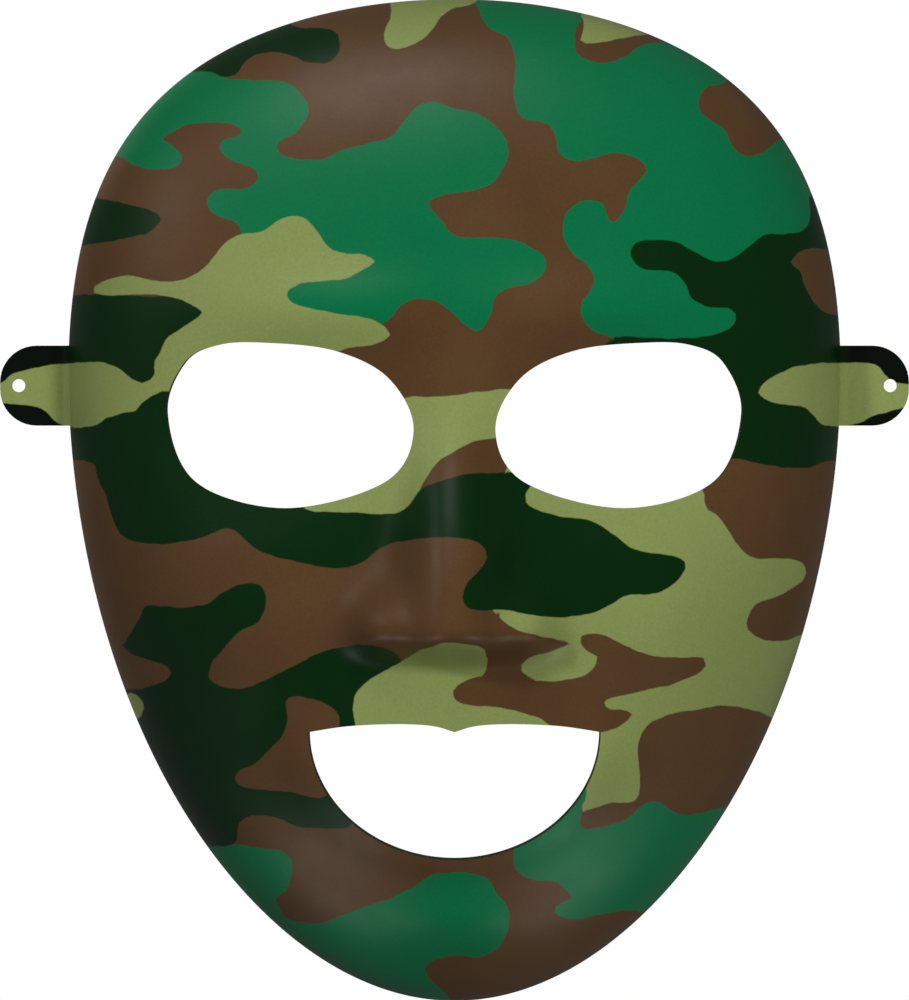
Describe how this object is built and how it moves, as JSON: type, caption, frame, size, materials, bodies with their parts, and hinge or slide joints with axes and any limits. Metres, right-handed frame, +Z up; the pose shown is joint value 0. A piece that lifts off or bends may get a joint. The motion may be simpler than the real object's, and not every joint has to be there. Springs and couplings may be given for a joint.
{
  "type": "face mask",
  "caption": "Moulded plastic full-face mask with a camouflage film, eye and mouth openings and a folding strap tab on each side.",
  "frame": {"origin": "midway between the two strap holes, in the plane of the rim", "axes": "+Z up to the crown, the face looks along -Y, +X to the wearer's left"},
  "size_m": [0.209, 0.0629, 0.2304],
  "materials": {
    "carrier_sheet": "matt dark olive sheet",
    "camo_film": "satin printed film in four colours"
  },
  "bodies": {
    "mask": {"face_shell": "carrier_sheet", "face_film": "camo_film"},
    "left_tab": {"left_tab": "carrier_sheet", "left_tab_film": "camo_film"},
    "right_tab": {"right_tab": "carrier_sheet", "right_tab_film": "camo_film"}
  },
  "joints": [
    {"name": "left_tab_fold", "type": "hinge", "parent": "mask", "child": "left_tab", "pos_m": [0.0894, -0.0004, 0], "axis": [0, 0, 1], "range_deg": [0, 75], "stiffness_Nm_per_rad": 0.001},
    {"name": "right_tab_fold", "type": "hinge", "parent": "mask", "child": "right_tab", "pos_m": [-0.0894, -0.0004, 0], "axis": [0, 0, -1], "range_deg": [0, 75], "stiffness_Nm_per_rad": 0.001}
  ]
}
